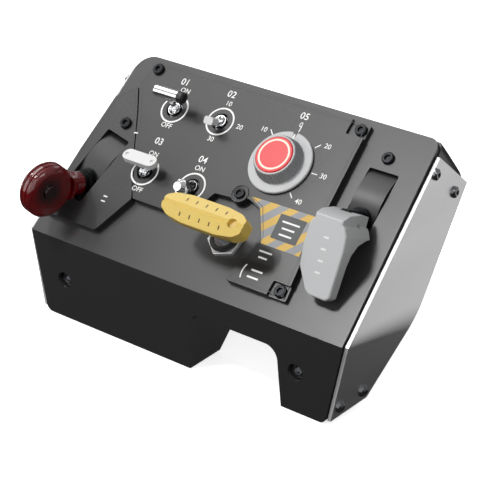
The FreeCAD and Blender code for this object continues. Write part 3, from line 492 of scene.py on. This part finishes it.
lettering("legends", [("01", -59.5, 108.0, BIG), ("ON", -56.6, 103.2, SMALL), ("OFF", -56.1, 80.6, SMALL),
                      ("02", -27.4, 109.0, BIG), ("10", -26.1, 103.4, SMALL), ("20", -12.2, 92.3, SMALL),
                      ("30", -25.2, 80.9, SMALL),
                      ("03", -54.8, 70.4, BIG), ("ON", -53.8, 62.6, SMALL), ("OFF", -51.6, 40.6, SMALL),
                      ("04", -22.5, 68.2, BIG), ("ON", -21.5, 62.9, SMALL),
                      ("05", 21.7, 109.0, BIG), ("0", 22.2, 103.8, SMALL), ("10", 2.6, 95.4, SMALL),
                      ("20", 43.6, 96.6, SMALL), ("30", 50.0, 80.0, SMALL), ("40", 44.0, 62.8, SMALL)])
stripe_regions = [[(33.6, 40.0), (36.2, 35.2), (60.4, 35.2), (60.0, 58.2), (33.6, 58.0)],
                  [(25.0, 53.2), (33.6, 40.0), (33.6, 58.0), (25.0, 57.8)],
                  [(16.4, 57.6), (25.0, 53.2), (25.0, 57.8)]]
STRIPE, LEAN = 5.9, 26.0            # width of a stripe, and how far its top lies right of its foot
STRIPE_LOW, STRIPE_HIGH = 30.0, 60.0
yellow, grey = [], []
for i in range(-2, 10):
    foot = -30.0 + i * 2 * STRIPE
    for x, target in ((foot, yellow), (foot + STRIPE, grey)):
        strip = [(x, STRIPE_LOW), (x + STRIPE, STRIPE_LOW), (x + STRIPE + LEAN, STRIPE_HIGH),
                 (x + LEAN, STRIPE_HIGH)]
        target += [clipped(strip, region) for region in stripe_regions]
# marks that lie one over another are printed a hair apart
prints_and_shade("stripes_yellow", yellow, "ink_yellow", PLATE - 0.01)
prints_and_shade("stripes_grey", grey, "ink_grey", PLATE - 0.01)
prints_and_shade("stripe_label", [[(39.2, 39.8), (55.3, 39.8), (55.0, 54.0), (38.4, 54.0)]], "ink_dark",
       PLATE + 0.01)
prints_and_shade("label_bars", [bar(46.8, 50.2, 11, 1.0), bar(46.9, 46.6, 8, 1.0), bar(47.0, 43.0, 8, 1.0)],
       "ink_white", PLATE + 0.03)
LOBE, LOBE_R = (47.0, 30.0), 5.0    # centre and radius of the black patch's round end
patch = [(34.4, 35.0), (33.2, 29.5), (31.6, 25.0), (47.0, 25.0)]
patch += [(LOBE[0] + LOBE_R * math.sin(t), LOBE[1] - LOBE_R * math.cos(t))
          for t in (0.5, 1.0, 1.57, 2.1, 2.6, 3.14)]
prints_and_shade("lobe_patch", [patch], "black_print_and_shade")
prints_and_shade("patch_bars", [bar(41.5, 31.4, 8, 1.0), bar(41.5, 28.0, 5.5, 1.0)], "ink_white", PLATE + 0.02)
lobe_arc = arc_band((43.5, 18.3), 9.0, 9.7, -115, -65, 12)
prints_and_shade("lobe_marks", lobe_arc + [bar(42.4, 20.4, 7, 1.0), bar(41.8, 16.4, 7, 1.0)], "ink_white")
prints_and_shade("lever_marks", [bar(-68.0, 30.8, 2.8, 0.8), bar(-68.0, 27.8, 2.8, 0.8),
                       bar(-72.0, 71.0, 2.6, 0.8, 12)], "ink_white")
BUTTON_FACE, FLANGE_FACE = 13.92, 5.92
prints_and_shade("button_ring", arc_band(KNOB, 8.0, 9.1, 0, 360, 72), "cream", BUTTON_FACE, "button")
prints_and_shade("knob_pointer", [bar(KNOB[0], KNOB[1] + 15.6, 1.0, 3.0)], "ink_white", FLANGE_FACE, "selector")


# ---------------------------------------------------------------- studio
def stage_plane(name, size, z, look):
    """Level square of the studio, size metres from its middle to its sides."""
    bm = bmesh.new()
    bmesh.ops.create_grid(bm, x_segments=1, y_segments=1, size=size)
    mesh = bpy.data.meshes.new(name)
    for vert in bm.verts:
        vert.co.z = z
    bm.to_mesh(mesh)
    bm.free()
    obj = bpy.data.objects.new(name, mesh)
    bpy.context.scene.collection.objects.link(obj)
    mesh.materials.append(look)
    return obj


def light(name, place, target, size, power):
    """White rectangular lamp that looks at the target; metres and watts."""
    data = bpy.data.lights.new(name, "AREA")
    data.shape, data.size, data.size_y = "RECTANGLE", size[0], size[1]
    data.energy = power
    obj = bpy.data.objects.new(name, data)
    obj.location = place
    obj.rotation_euler = (Vector(target) - Vector(place)).to_track_quat("-Z", "Y").to_euler()
    bpy.context.scene.collection.objects.link(obj)
    return obj


# white board: its glow hides its far edge, and the object neither is lit by it nor mirrors it
FLOOR = material("floor", "#f7f7f7", 0.6, grain=2.0, tint=0.005, Emission_Color=(1, 1, 1, 1),
                 Emission_Strength=0.70)
floor = stage_plane("floor", 1.0, -0.0005, FLOOR)
floor.visible_diffuse = floor.visible_glossy = floor.visible_shadow = False
aim = (0, 0.03, 0.06)
light("key", (-0.39, -0.52, 1.08), aim, (0.18, 0.18), 6.8)
softbox = light("softbox", (-0.64, 0.06, 1.10), aim, (0.8, 0.7), 5.2)
softbox.visible_diffuse = False     # only its mirror image on the slope is wanted
light("front_fill", (0.45, -1.15, 0.45), aim, (1.8, 1.2), 6.0)
light("right", (1.15, -0.25, 0.90), aim, (0.5, 0.5), 2.0)
# what the right side plate mirrors
light("side_card", (0.80, 0.95, -0.36), aim, (1.0, 0.55), 1.45)
light("back_edge", (-0.1, 1.2, 0.8), aim, (1.4, 0.7), 2.5)
# draws the line along the bend
light("low_left", (-0.80, -0.95, 0.33), aim, (1.0, 0.8), 3.8)
light("left_rim", (-1.0, -0.25, 0.35), aim, (0.25, 0.8), 4.0)

# the world is white to the camera and through clear pieces, and a grey ramp to all else
world = bpy.data.worlds.new("studio")
bpy.context.scene.world = world
world.use_nodes = True
tree = world.node_tree
tree.nodes.clear()
paths = node(tree, "ShaderNodeLightPath")
seen = node(tree, "ShaderNodeMath", {0: paths.outputs["Is Camera Ray"],
                                     1: paths.outputs["Is Transmission Ray"]},
            operation="ADD", use_clamp=True)
facing = node(tree, "ShaderNodeTexCoord").outputs["Generated"]
height = node(tree, "ShaderNodeSeparateXYZ", {"Vector": facing})
lift = node(tree, "ShaderNodeMapRange", {"Value": height.outputs["Z"], "From Min": -0.15,
                                         "From Max": 0.50, "To Min": 0.06, "To Max": 0.50})
soft = node(tree, "ShaderNodeBackground", {"Color": colour("#dfdfdf"), "Strength": lift.outputs["Result"]})
white = node(tree, "ShaderNodeBackground", {"Color": (1, 1, 1, 1), "Strength": 1.0})
mixed = node(tree, "ShaderNodeMixShader", {0: seen.outputs[0], 1: soft.outputs[0], 2: white.outputs[0]})
node(tree, "ShaderNodeOutputWorld", {"Surface": mixed.outputs[0]})

# long lens from the front right, looking down by 27 degrees
camera_data = bpy.data.cameras.new("camera")
camera_data.lens, camera_data.sensor_width = 133.77, 36.0
camera = bpy.data.objects.new("camera", camera_data)
camera.location = (0.53265, -0.63707, 0.48771)
camera.rotation_euler = (math.radians(63.143), 0.0, math.radians(38.329))
bpy.context.scene.collection.objects.link(camera)
scene = bpy.context.scene
scene.camera = camera
scene.view_settings.view_transform = "Standard"
